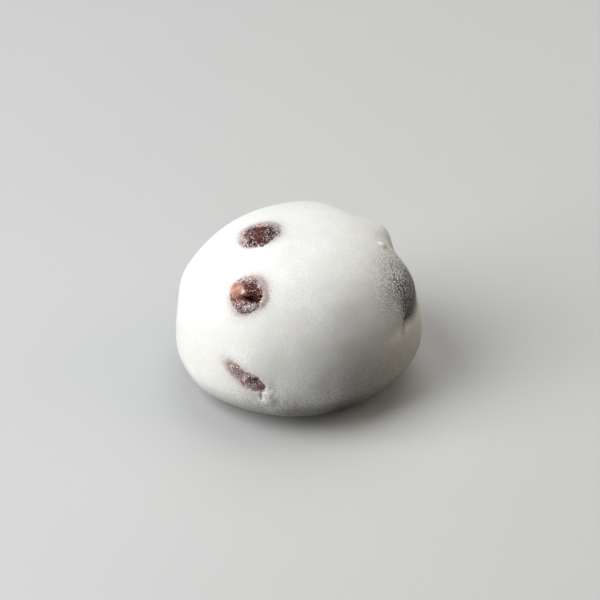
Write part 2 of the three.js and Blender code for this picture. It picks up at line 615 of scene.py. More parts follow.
@dataclass(frozen=True)
class Pea:
    """A whole cooked pea held in the skin.

    Attributes:
        node: The solid that it stands for.
        azimuth: Where it lies on the cake.
        elevation: Where it lies on the cake.
        roll: Of its long axis, from east towards north.
        proud: How far it stands over the cake's plain form.
        mound: How far the skin swells round it.
        length: Half its length.
        width: Half its width.
        depth: Half its depth.
        power: Of its superellipsoid.
        cover: How the skin lies over it.
        seed: Of its unevenness.
        window: Where the skin is torn, if it is.
        film: How thick the skin over it is, if it isn't.
        fade: How thick the skin is where the pea's shade has sunk to a third.
        falloff: How suddenly it sinks there; 1 is the softest.
        shade: The colour of the thinnest skin over it.
        shade_strength: How strongly it shows through the thinnest skin.
        lean: How far along and across the pea its shade is shifted, as it lies askew.
        gather: How many times shorter than the pea its shade is.
        coat: The colour of its own skin.
        starch: How much of it the starch covers, from 0 to 1.
        patches: Its patches of other colours.
        swells: Its hills and hollows.
        creases: Its grooves.
        mound_reach: How far the skin swells round it, in degrees.
        tuck: How far it is drawn in under the skin.
        tuck_edge: How far from a torn edge it is drawn in fully.
        detail: How often the sphere that it starts from is divided.
        pattern: Of its coat.
    """

    node: str
    azimuth: float
    elevation: float
    roll: float
    proud: float
    mound: float
    length: float
    width: float
    depth: float
    power: float
    cover: Cover
    seed: float
    window: Window | None = None
    film: float = 0.35
    fade: float = 0.6
    falloff: float = 1.0
    shade: Colour = (0.20, 0.085, 0.085)
    shade_strength: float = 0.8
    lean: tuple[float, float] = (0.0, 0.0)
    gather: float = 1.0
    coat: Colour = (0.085, 0.026, 0.024)
    starch: float = 0.4
    patches: tuple[Patch, ...] = ()
    swells: tuple[Swell, ...] = ()
    creases: tuple[Crease, ...] = ()
    mound_reach: float = 11.0
    tuck: float = 0.12
    tuck_edge: float = 0.5
    detail: int = 6
    pattern: CoatPattern = CoatPattern()

    def placement(self, form: CakeForm) -> Placement:
        """Where the pea lies in the cake."""
        return form.stand(self.azimuth, self.elevation, self.roll, self.proud - self.depth)

    def mound_lobe(self) -> Lobe:
        """The swelling of the skin round it."""
        return Lobe(self.node, self.azimuth, self.elevation, self.mound, self.mound_reach, self.mound_reach)

    def share(self, local: np.ndarray) -> np.ndarray:
        """How far out each point is, as a share of the way to the pea's surface."""
        total = fullness(local, (self.length, self.width, self.depth), self.power)
        return np.maximum(total, TINY) ** (1.0 / self.power)

    def top(self, local: np.ndarray) -> np.ndarray:
        """How high the pea's outer face is over each place.

        Args:
            local: Points in the pea's own axes.

        Returns:
            The height along the outward axis; beside the pea it is far down.
        """
        flat = fullness(local, (self.length, self.width), self.power)
        height = self.depth * np.maximum(1.0 - flat, 0.0) ** (1.0 / self.power)
        far_down = -10.0 * self.depth
        return np.where(flat < 1.0, height, far_down)

    def surface(self) -> tuple[np.ndarray, Faces]:
        """The pea's wrinkled surface in its own axes.

        Returns:
            The points, and the faces as tuples of indices.
        """
        toward, faces = unit_sphere(self.detail)
        plain = toward / self.share(toward)[:, None]
        sunk = np.full(len(plain), self.tuck)
        if self.window is not None:
            sunk *= smooth_step(self.window.distance(plain, self.seed), 0.0, self.tuck_edge)
        strayed = self.pattern.strayed(plain, self.seed)
        for crease in self.creases:
            sunk += crease.sink(strayed)
        for swell in self.swells:
            sunk -= swell.lift(strayed)
        sunk += self.pattern.wrinkles(plain, self.seed)
        length = np.linalg.norm(plain, axis=1)
        return toward * (length - sunk)[:, None], faces

    def colours(self, local: np.ndarray) -> np.ndarray:
        """The coat's colour at each point, with how much starch lies there as a fourth value.

        Args:
            local: Points in the pea's own axes.

        Returns:
            Four numbers a row.
        """
        pattern = self.pattern
        colour = np.tile(self.coat, (len(local), 1))
        dusted = np.full(len(local), self.starch)
        strayed = pattern.strayed(local, self.seed)
        for patch in self.patches:
            cover = patch.cover(strayed)
            colour += (np.array(patch.colour)[None, :] - colour) * cover[:, None]
            dusted += (patch.starch - dusted) * cover
        colour *= 1.0 + pattern.mottling * unevenness(local, pattern.mottles, self.seed)[:, None]
        dusted *= 1.0 + pattern.dust_clouds * lumps(local, pattern.dust_size, self.seed + 13.0)
        if self.window is not None:
            dusted += pattern.rim_dust * bell(self.window.distance(local, self.seed), pattern.rim_reach)
        return np.column_stack([np.clip(colour, 0.0, 1.0), np.clip(dusted, 0.0, 1.0)])


PEAS = (
    Pea(
        node="bean_top", azimuth=-169, elevation=73, roll=86, proud=1.1, mound=0.6,
        length=5.5, width=4.8, depth=3.8, power=2.4, cover=Cover.TORN, seed=1.7,
        window=Window(
            along=4.55, across=3.65, power=1.9, shift_along=-0.1, shift_across=-0.8, turn=180, taper=0.3,
            cling=0.6, thicken=0.2,
        ),
        fade=0.55, shade_strength=0.75, lean=(0.1, 0.0), starch=0.20, coat=(0.070, 0.018, 0.020),
        patches=(
            Patch(0.0, -0.3, 1.3, 2.2, (0.15, 0.050, 0.032), 0.8, 0.08),
            Patch(2.2, -1.0, 1.9, 1.7, (0.034, 0.014, 0.022), 0.9, 0.25),
            Patch(4.2, -0.6, 1.0, 1.8, (0.12, 0.07, 0.085), 0.8, 0.35),
            Patch(-3.8, -0.8, 1.2, 1.8, (0.34, 0.18, 0.18), 0.6, 0.55),
            Patch(0.4, 2.6, 3.6, 1.3, (0.26, 0.16, 0.165), 0.85, 0.62),
        ),
        creases=(Crease((-3.0, -0.8), (3.2, -0.2), 0.8, 0.2),),
    ),
    Pea(
        node="bean_middle", azimuth=-123, elevation=47.5, roll=38, proud=1.3, mound=0.3,
        length=5.2, width=4.7, depth=4.1, power=2.5, cover=Cover.TORN, seed=5.3,
        window=Window(
            along=3.85, across=4.15, power=2.1, shift_across=0.15, turn=-16, cling=0.5, thicken=0.4,
        ),
        fade=0.55, shade=(0.30, 0.13, 0.11), shade_strength=0.6, lean=(0.2, 0.1), starch=0.24,
        coat=(0.115, 0.030, 0.025),
        patches=(
            Patch(0.4, 3.6, 2.6, 1.1, (0.28, 0.12, 0.10), 0.8, 0.45),
            Patch(-2.2, -1.6, 1.4, 1.3, (0.30, 0.13, 0.11), 0.8, 0.36),
            Patch(-1.9, 1.8, 1.6, 2.0, (0.57, 0.25, 0.155), 0.95, 0.10),
            Patch(-3.0, 2.2, 0.9, 1.6, (0.74, 0.43, 0.31), 0.8, 0.15),
            Patch(-0.9, 1.8, 0.7, 1.0, (0.76, 0.50, 0.41), 0.85, 0.25),
            Patch(2.0, 0.5, 1.5, 1.5, (0.085, 0.018, 0.014), 0.8, 0.14),
            Patch(3.8, 1.3, 0.9, 1.6, (0.28, 0.15, 0.14), 0.85, 0.6),
            # The three darkest patches are painted shade in the crevice and in the hollow beside the tan
            # lobe, with no starch.
            Patch(0.2, -0.8, 1.2, 0.6, (0.030, 0.006, 0.005), 0.95, 0.0),
            Patch(1.3, -1.4, 1.3, 0.9, (0.026, 0.004, 0.003), 0.97, 0.0),
            Patch(2.5, -2.1, 1.4, 1.0, (0.022, 0.004, 0.003), 0.98, 0.0),
            # The two pale patches at the tan lobe's tip are partly the pale edge of the split skin and
            # partly a painted highlight.
            Patch(-0.8, 0.55, 0.5, 0.4, (0.78, 0.52, 0.38), 0.9, 0.1),
            Patch(-0.3, 0.7, 0.5, 0.6, (1.0, 0.82, 0.71), 0.97, 0.1),
            Patch(-0.4, -2.9, 1.1, 0.7, (0.46, 0.43, 0.38), 0.85, 0.6),
            Patch(0.9, -3.3, 1.2, 0.6, (0.42, 0.38, 0.35), 0.8, 0.5),
        ),
        swells=(
            Swell(-2.2, 1.9, 1.9, 2.1, 0.6),
            Swell(-0.15, 0.5, 0.6, 0.5, 0.35),
            Swell(1.8, -1.8, 1.15, 0.85, -0.8),
            Swell(0.9, -1.2, 1.3, 0.8, -0.5),
            Swell(-1.7, -2.4, 1.5, 1.2, 0.3),
            Swell(1.9, 1.9, 1.4, 1.2, 0.25),
        ),
        creases=(Crease((-1.4, -0.5), (2.6, -2.6), 0.4, 0.4), Crease((0.1, 0.2), (0.9, 2.6), 0.35, 0.3)),
    ),
    Pea(
        node="bean_low", azimuth=-116, elevation=11, roll=-29, proud=1.0, mound=0.7,
        length=6.2, width=2.4, depth=4.2, power=2.5, cover=Cover.TORN, seed=9.1,
        window=Window(
            along=4.9, across=1.8, power=2.2, shift_along=0.6, shift_across=0.2, taper=0.3,
            waist=0.36, waist_at=-0.3, ragged=0.4, cling=0.6,
        ),
        shade=(0.30, 0.175, 0.16), shade_strength=0.85, lean=(-0.3, 0.0), starch=0.45,
        coat=(0.20, 0.115, 0.12),
        patches=(
            Patch(-3.0, 0.2, 2.4, 2.2, (0.29, 0.165, 0.15), 0.95, 0.28),
            Patch(-4.8, 0.0, 1.2, 2.0, (0.42, 0.28, 0.265), 0.9, 0.4),
            Patch(0.0, 0.0, 0.8, 1.6, (0.40, 0.30, 0.30), 0.85, 0.55),
            Patch(2.3, 1.1, 1.6, 0.7, (0.040, 0.016, 0.024), 0.85, 0.15),
            Patch(4.1, -0.1, 1.7, 1.5, (0.27, 0.18, 0.19), 0.75, 0.45),
        ),
        swells=(Swell(-0.2, -2.0, 1.2, 0.9, -0.4), Swell(-0.2, 2.0, 1.2, 0.9, -0.4)),
        creases=(Crease((-0.4, -1.0), (-0.1, 1.0), 0.7, 0.25),),
    ),
    Pea(
        node="bean_side", azimuth=-14, elevation=32, roll=84, proud=1.0, mound=0.4,
        length=5.8, width=4.9, depth=3.9, power=2.3, cover=Cover.FILM, seed=13.9,
        film=0.25, fade=2.2, falloff=2.6, shade=(0.100, 0.088, 0.106), shade_strength=0.87,
        lean=(-0.75, -0.9), gather=1.19, coat=(0.07, 0.03, 0.035),
    ),
    Pea(
        node="bean_back", azimuth=84, elevation=41, roll=24, proud=1.1, mound=0.6,
        length=5.4, width=4.6, depth=3.9, power=2.3, cover=Cover.TORN, seed=21.3,
        window=Window(along=4.4, across=3.5, power=1.8, cling=0.9),
        fade=0.42, lean=(0.3, -0.2), starch=0.14, coat=(0.085, 0.023, 0.020),
        patches=(
            Patch(-1.2, 0.8, 1.9, 1.5, (0.17, 0.065, 0.04), 0.9, 0.1),
            Patch(2.2, -1.2, 1.6, 1.3, (0.28, 0.13, 0.11), 0.6, 0.5),
        ),
        swells=(Swell(1.2, 0.6, 1.6, 1.1, -0.35),),
        creases=(Crease((-2.6, 0.9), (2.8, 0.2), 0.6, 0.25),),
    ),
    Pea(
        node="bean_far", azimuth=141, elevation=14, roll=-52, proud=1.0, mound=0.6,
        length=5.7, width=3.9, depth=4.0, power=2.4, cover=Cover.FILM, seed=27.7,
        film=0.28, fade=0.8, shade=(0.18, 0.13, 0.14), shade_strength=0.9,
    ),
)


# ---- Folds, lumps and starch on the skin -------------------------------------------------------


@dataclass(frozen=True)
class Furrow:
    """A fold of the skin, along places on the cake.

    Attributes:
        name: What it is.
        places: Azimuth and elevation of each point on its way.
        width: Half its width.
        depth: How deep it is in its middle; a ridge's is negative.
        shadow: How strongly painted shade darkens its middle, from 0 to 1.
        radius: The cake's, where its width is measured.
    """

    name: str
    places: tuple[tuple[float, float], ...]
    width: float
    depth: float
    shadow: float = 0.0
    radius: float = 29.0

    def sink(self, toward: np.ndarray) -> np.ndarray:
        """How deep the fold is.

        Args:
            toward: Unit vectors from the core, one a row.

        Returns:
            The depth along each.
        """
        stops = [direction(*place) for place in self.places]
        nearest = np.full(len(toward), np.inf)
        progress = np.zeros(len(toward))
        for index, (start, end) in enumerate(zip(stops, stops[1:])):
            share, away = beside_run(toward, start, end)
            away *= self.radius
            closer = away < nearest
            nearest = np.where(closer, away, nearest)
            progress = np.where(closer, (index + share) / (len(stops) - 1), progress)
        taper = np.sqrt(np.clip(np.sin(math.pi * progress), 0.0, 1.0))
        return self.depth * taper * bell(nearest, self.width)


FOLD_FOOT = ((-23, 22.4), (-25.2, 20.6), (-27.5, 18.8))

FURROWS = (
    Furrow(
        "fold under the side pea", ((-6, 26.5), (-13, 26.3), (-19.7, 26), (-21.2, 24.3), *FOLD_FOOT),
        width=0.42, depth=0.7,
    ),
    Furrow("tuck by the low pea", ((-107.6, 5.5), (-107, 2.5), (-106.8, 0)), width=0.32, depth=0.5),
    Furrow("ridge beside the tuck", ((-104.6, 5.5), (-103.4, 1.5), (-102.8, -3)), width=1.5, depth=-0.5),
    # Its shadow is painted shade along the lower run of the fold.
    Furrow(
        "lower run of the fold", ((-20.6, 25), *FOLD_FOOT, (-30.5, 16)), width=0.85, depth=0.2, shadow=0.48
    ),
)

KNOBS = (
    Lobe("starch lump at the foot of the hump", 1.0, 51.4, 0.68, 1.3, 1.2),
    Lobe("rise right of the tuck", -98.5, -3, 0.45, 4.5, 7),
)

DUSTINGS = (
    Lobe("loose starch on the right shoulder", -12, 42, 0.14, 16, 9),
    Lobe("loose starch on the hump", 1.5, 52.2, 1.0, 1.5, 1.3),
    Lobe("loose starch on the lower front", -95, -3, 0.10, 20, 5),
    Lobe("loose starch at the end of the low pea", -103.5, 4, 0.8, 2.2, 4),
)

PUCKERS = (
    Lobe("puckers at the foot of the hump", -2, 47, 1.0, 10, 6),
    Lobe("puckers by the low pea", -101, 4, 0.7, 5, 6),
)

# Caked starch: real relief of grains, with painted shade in the gaps between them.
CRUSTS = (
    Lobe("caked starch on the right shoulder", -11, 38, 1.2, 14, 10),
    Lobe("caked starch on the lower front", -97, -4, 0.6, 20, 7),
    Lobe("caked starch by the low pea", -103, 6, 0.35, 5, 7),
    Lobe("caked starch on the lower right", -55, -2, 0.4, 34, 16),
)


# ---- Meshes ------------------------------------------------------------------------------------


def unit_sphere(subdivisions: int) -> tuple[np.ndarray, Faces]:
    """A closed sphere of even triangles.

    Args:
        subdivisions: How often an icosahedron is divided, counted from 1.

    Returns:
        Unit vectors, and the faces as tuples of indices.
    """
    sphere = bmesh.new()
    bmesh.ops.create_icosphere(sphere, subdivisions=subdivisions, radius=1.0)
    toward = np.array([v.co[:] for v in sphere.verts])
    faces = [tuple(v.index for v in f.verts) for f in sphere.faces]
    sphere.free()
    return toward / np.linalg.norm(toward, axis=1)[:, None], faces


def make_object(name: str, points: np.ndarray, faces: Faces) -> bpy.types.Object:
    """A smooth-shaded object at the origin, from points in millimetres.

    Args:
        name: The object's name.
        points: One a row.
        faces: Tuples of indices.

    Returns:
        The linked object.
    """
    mesh = bpy.data.meshes.new(name)
    mesh.from_pydata((points * MM).tolist(), [], faces)
    mesh.polygons.foreach_set("use_smooth", [True] * len(mesh.polygons))
    mesh.update()
    made = bpy.data.objects.new(name, mesh)
    bpy.context.scene.collection.objects.link(made)
    return made


def paint(mesh: bpy.types.Mesh, name: str, colours: np.ndarray) -> None:
    """Stores four numbers for each vertex as a colour attribute."""
    layer = mesh.color_attributes.new(name, "FLOAT_COLOR", "POINT")
    layer.data.foreach_set("color", colours.astype(np.float32).ravel())


def weigh(mesh: bpy.types.Mesh, name: str, values: np.ndarray) -> None:
    """Stores one number for each vertex as an attribute."""
    layer = mesh.attributes.new(name, "FLOAT", "POINT")
    layer.data.foreach_set("value", values.astype(np.float32))


def settle(piece: bpy.types.Object, slot: Slot, *nodes: str) -> None:
    """Makes a finished piece ride with the cake, and stand for its nodes.

    Args:
        piece: The finished object.
        slot: The material slot that it takes its finish from; not used.
        *nodes: The solids that it replaces.
    """
    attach(piece, BODY)
    if nodes:
        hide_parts(*nodes)


# ---- Finishes ----------------------------------------------------------------------------------


class Graph:
    """A node tree, with short ways to add nodes and to feed them."""

    def __init__(self, tree: bpy.types.NodeTree) -> None:
        """Takes up a tree."""
        self.tree = tree

    def feed(self, target: Socket, value: object) -> None:
        """Gives an input its value.

        Args:
            target: The input.
            value: Another node's output, or a number, a colour, a vector, a name or a material.
        """
        if isinstance(value, Socket):
            self.tree.links.new(value, target)
        elif target.type == "RGBA":
            target.default_value = (*value, 1.0)
        else:
            target.default_value = value

    def add(
        self, kind: str, inputs: dict[str | int, object] | None = None, **settings: object
    ) -> bpy.types.Node:
        """Adds a node.

        Args:
            kind: Its type.
            inputs: What its inputs are fed, by their names or places.
            **settings: Its properties.

        Returns:
            The node.
        """
        node = self.tree.nodes.new(kind)
        for name, value in settings.items():
            setattr(node, name, value)
        for key, value in (inputs or {}).items():
            self.feed(node.inputs[key], value)
        return node

    def math(self, kind: str, *values: Socket | float, clamp: bool = False) -> Socket:
        """The result of a Math node."""
        node = self.add("ShaderNodeMath", dict(enumerate(values)), operation=kind, use_clamp=clamp)
        return node.outputs[0]

    def blend(self, share: Socket | float, a: Socket | Colour, b: Socket | Colour) -> Socket:
        """Mixes colour a towards colour b by share."""
        return self.add("ShaderNodeMix", {"Factor": share, 6: a, 7: b}, data_type="RGBA").outputs[2]


class Board(Graph):
    """A material's nodes, round its Principled shader."""

    def __init__(self, name: str) -> None:
        """Starts a material with an output and a Principled shader.

        Args:
            name: The material's name.
        """
        self.material = bpy.data.materials.new(name)
        self.material.use_nodes = True
        super().__init__(self.material.node_tree)
        self.tree.nodes.clear()
        self.shader = self.add("ShaderNodeBsdfPrincipled")
        self.add("ShaderNodeOutputMaterial", {"Surface": self.shader.outputs["BSDF"]})
        self.place = self.add("ShaderNodeTexCoord").outputs["Object"]

    def set(self, **sockets: object) -> None:
        """Feeds the shader's own sockets; an underscore stands for a space."""
        for name, value in sockets.items():
            self.feed(self.shader.inputs[name.replace("_", " ")], value)

    def attribute(self, name: str) -> bpy.types.Node:
        """Reads a stored attribute."""
        return self.add("ShaderNodeAttribute", attribute_name=name)

    def grain(self, size: float, detail: float = 2.0, rough: float = 0.5) -> Socket:
        """Noise from 0 to 1 whose lumps are size millimetres across."""
        inputs = {"Vector": self.place, "Scale": 1.0 / (size * MM), "Detail": detail, "Roughness": rough}
        return self.add("ShaderNodeTexNoise", inputs).outputs["Fac"]

    def cells(self, size: float, uneven: float = 0.7, bend: float = 0.6, fray: float = 0.45) -> Socket:
        """Packed grains of uneven outline.

        Args:
            size: How far apart the grains are.
            uneven: How unevenly they are packed, from 0 to 1.
            bend: How far their outlines are bent, as a share of their size.
            fray: How frayed their edges are.

        Returns:
            How far each place is from the middle of the nearest grain, over their size.
        """
        bend_size, fray_size = 0.625 * size, 0.35 * size
        wander = self.add("ShaderNodeTexNoise", {"Vector": self.place, "Scale": 1.0 / (bend_size * MM)})
        reach = bend * size * MM
        terms = {0: wander.outputs["Color"], 1: (reach, reach, reach), 2: self.place}
        bent = self.add("ShaderNodeVectorMath", terms, operation="MULTIPLY_ADD").outputs[0]
        inputs = {"Vector": bent, "Scale": 1.0 / (size * MM), "Randomness": uneven}
        away = self.add("ShaderNodeTexVoronoi", inputs).outputs["Distance"]
        return self.math("MULTIPLY_ADD", self.grain(fray_size, 2.0, 0.6), fray, away)

    def mix(self, share: Socket, a: Socket, b: Socket) -> Socket:
        """Mixes value a towards value b by share."""
        return self.add("ShaderNodeMix", {0: share, 2: a, 3: b}, data_type="FLOAT").outputs[0]

    def between(
        self, value: Socket, low: float, high: float, bottom: float = 0.0, top: float = 1.0
    ) -> Socket:
        """Maps low..high to bottom..top, smoothly and held at both ends."""
        inputs = {"Value": value, "From Min": low, "From Max": high, "To Min": bottom, "To Max": top}
        return self.add("ShaderNodeMapRange", inputs, interpolation_type="SMOOTHSTEP").outputs["Result"]

    def dither(self, share: Socket, fine: Socket, contrast: Socket) -> Socket:
        """Breaks a soft share into speckles that keep its mean.

        Args:
            share: The share to break up, from 0 to 1.
            fine: Fine noise from 0 to 1.
            contrast: How strong the speckles are.

        Returns:
            The speckled share.
        """
        # Most of the noise lies from 0.36 to 0.64. A share of 0 or 1 leaves no room for speckles.
        room = self.math("MULTIPLY", share, self.math("SUBTRACT", 1.0, share))
        swing = self.math("MULTIPLY", self.between(fine, 0.36, 0.64, 0.5, -0.5), contrast)
        return self.math("MULTIPLY_ADD", room, swing, share, clamp=True)

    def specks(self, share: Socket, fine: Socket) -> Socket:
        """Turns a soft share into crisp specks that cover about that share of the surface.

        Args:
            share: The share to cover, from 0 to 1.
            fine: Fine noise from 0 to 1.

        Returns:
            1 in a speck and 0 between them.
        """
        # A share of 1 lifts nearly all of the noise over the step from 0.63 to 0.71, and 0 hardly any.
        level = self.math("MULTIPLY_ADD", share, 0.34, fine)
        return self.between(level, 0.63, 0.71)

    def bump(self, height: Socket, depth: float) -> None:
        """Raises the surface by height times depth, in millimetres."""
        node = self.add("ShaderNodeBump", {"Strength": 1.0, "Distance": depth * MM, "Height": height})
        self.set(Normal=node.outputs["Normal"])


@dataclass(frozen=True)
class RiceSkin:
    """The soft, dusted skin, which takes on the shade of a pea where it is thin. It carries painted shade
    in its folds and in the gaps of caked starch.

    Attributes:
        dusted: Its colour under dry starch.
        damp: Its colour where little starch lies.
        bare: Its colour in the gaps of caked starch, a painted shade much darker than the skin itself.
        cloud_size: Of the places where more starch lies.
        powder_size: Of the clots of starch in them.
        soft_size: Of the unevenness where no starch is caked.
        grain_size: How far apart the grains of caked starch are.
        relief: How deep the unevenness is.
        scatter: How far light spreads in it.
        roughness: Of its surface.
        speckle: How strongly the plain skin speckles a pea's shade.
        crust_speckle: How strongly caked starch does.
    """

    dusted: Colour = (0.90, 0.895, 0.885)
    damp: Colour = (0.82, 0.815, 0.79)
    bare: Colour = (0.33, 0.325, 0.32)
    cloud_size: float = 5.0
    powder_size: float = 0.55
    soft_size: float = 0.36
    grain_size: float = 0.5
    relief: float = 0.2
    scatter: float = 1.2
    roughness: float = 0.72
    speckle: float = 1.2
    crust_speckle: float = 2.6

    def material(self) -> bpy.types.Material:
        """Builds the finish.

        Returns:
            The material, which reads the attributes crust and under.
        """
        board = Board("rice_skin")
        crust_and_gap_shade = board.attribute("crust_and_gap_shade").outputs["Fac"]
        clouds = board.between(board.grain(self.cloud_size, 3.0), 0.35, 0.68)
        powder = board.between(board.grain(self.powder_size, 3.0, 0.6), 0.40, 0.62)
        dust = board.math("MAXIMUM", board.math("MULTIPLY", clouds, powder), crust_and_gap_shade)
        soft, cells = board.grain(self.soft_size, 2.0, 0.6), board.cells(self.grain_size)
        fine = board.mix(crust_and_gap_shade, soft, board.between(cells, 0.52, 0.88, 1.0, 0.0))
        # Painted shade in the gaps between caked grains, in the colour bare.
        gaps = board.math("MULTIPLY", board.between(fine, 0.35, 0.65, 1.0, 0.0), crust_and_gap_shade)
        plain = board.blend(gaps, board.blend(dust, self.damp, self.dusted), self.bare)
        # under holds a pea's colour through thin skin, and also the painted shade of the folds.
        under = board.attribute("under")
        contrast = board.between(crust_and_gap_shade, 0.0, 1.0, self.speckle, self.crust_speckle)
        shown = board.dither(under.outputs["Alpha"], fine, contrast)
        rounded = board.mix(crust_and_gap_shade, soft, board.between(cells, 0.15, 0.95, 1.0, 0.0))
        raised = board.math("MULTIPLY", rounded, board.between(crust_and_gap_shade, 0.0, 1.0, 0.4, 1.2))
        board.bump(raised, self.relief)
        board.set(
            Base_Color=board.blend(shown, plain, under.outputs["Color"]),
            Roughness=self.roughness,
            Subsurface_Weight=0.7,
            Subsurface_Radius=(1.0, 0.85, 0.7),
            Subsurface_Scale=self.scatter * MM,
            Specular_IOR_Level=0.3,
            Sheen_Weight=0.08,
            Sheen_Roughness=0.6,
        )
        return board.material


@dataclass(frozen=True)
class PeaCoat:
    """A cooked pea's dark skin, with specks of starch stuck to it.

    Attributes:
        vein: The colour of its dark veins.
        vein_share: How strongly they show.
        vein_size: Of the veins.
        thin_speck: The colour of starch where it is thin.
        speck: The colour of starch where it is thick.
        speck_size: Of a speck.
        thick_size: Of the places where the starch is thick.
        relief: How far a speck stands out.
        bare_roughness: Of the skin.
        speck_roughness: Of a speck.
    """

    vein: Colour = (0.03, 0.010, 0.010)
    vein_share: float = 0.45
    vein_size: float = 0.7
    thin_speck: Colour = (0.40, 0.24, 0.23)
    speck: Colour = (0.85, 0.80, 0.79)
    speck_size: float = 0.38
    thick_size: float = 0.45
    relief: float = 0.035
    bare_roughness: float = 0.38
    speck_roughness: float = 0.9

    def material(self) -> bpy.types.Material:
        """Builds the finish.

        Returns:
            The material, which reads the attribute coat.
        """
        board = Board("pea_coat")
        coat = board.attribute("coat")
        veins = board.between(board.grain(self.vein_size, 4.0, 0.65), 0.35, 0.7)
        veined = board.blend(veins, coat.outputs["Color"], self.vein)
        skin = board.blend(self.vein_share, coat.outputs["Color"], veined)
        fine = board.grain(self.speck_size, 4.0, 0.65)
        specks = board.specks(coat.outputs["Alpha"], fine)
        thick = board.between(board.grain(self.thick_size, 1.0), 0.42, 0.62)
        starch = board.blend(thick, self.thin_speck, self.speck)
        board.bump(fine, self.relief)
        board.set(
            Base_Color=board.blend(specks, skin, starch),
            Roughness=board.between(specks, 0.0, 1.0, self.bare_roughness, self.speck_roughness),
            Subsurface_Weight=0.25,
            Subsurface_Radius=(1.0, 0.35, 0.25),
            Subsurface_Scale=0.5 * MM,
            Specular_IOR_Level=0.08,
        )
        return board.material


@dataclass(frozen=True)
class Starch:
    """Dry white grains of starch.

    Attributes:
        colour: Of most grains.
        darker: Of the others.
        cloud_size: Of the places where they are darker.
    """

    colour: Colour = (0.90, 0.89, 0.88)
    darker: Colour = (0.80, 0.78, 0.77)
    cloud_size: float = 0.8

    def material(self) -> bpy.types.Material:
        """Builds the finish.

        Returns:
            The material.
        """
        board = Board("starch")
        board.set(
            Base_Color=board.blend(board.grain(self.cloud_size), self.darker, self.colour),
            Roughness=1.0,
            Specular_IOR_Level=0.1,
            Subsurface_Weight=1.0,
            Subsurface_Radius=(1.0, 1.0, 1.0),
            Subsurface_Scale=0.15 * MM,
        )
        return board.material


@dataclass(frozen=True)
class PaleFloor:
    """A plain pale floor.

    Attributes:
        colour: Of the floor.
        cloud: Of the faint clouds in it.
        cloud_size: Of the clouds.
    """

    colour: Colour = (0.55, 0.55, 0.545)
    cloud: Colour = (0.57, 0.57, 0.565)
    cloud_size: float = 60.0

    def material(self) -> bpy.types.Material:
        """Builds the finish.

        Returns:
            The material.
        """
        board = Board("pale_floor")
        clouds = board.grain(self.cloud_size)
        board.set(Base_Color=board.blend(clouds, self.colour, self.cloud), Roughness=0.85)
        return board.material


# ---- The skin ----------------------------------------------------------------------------------


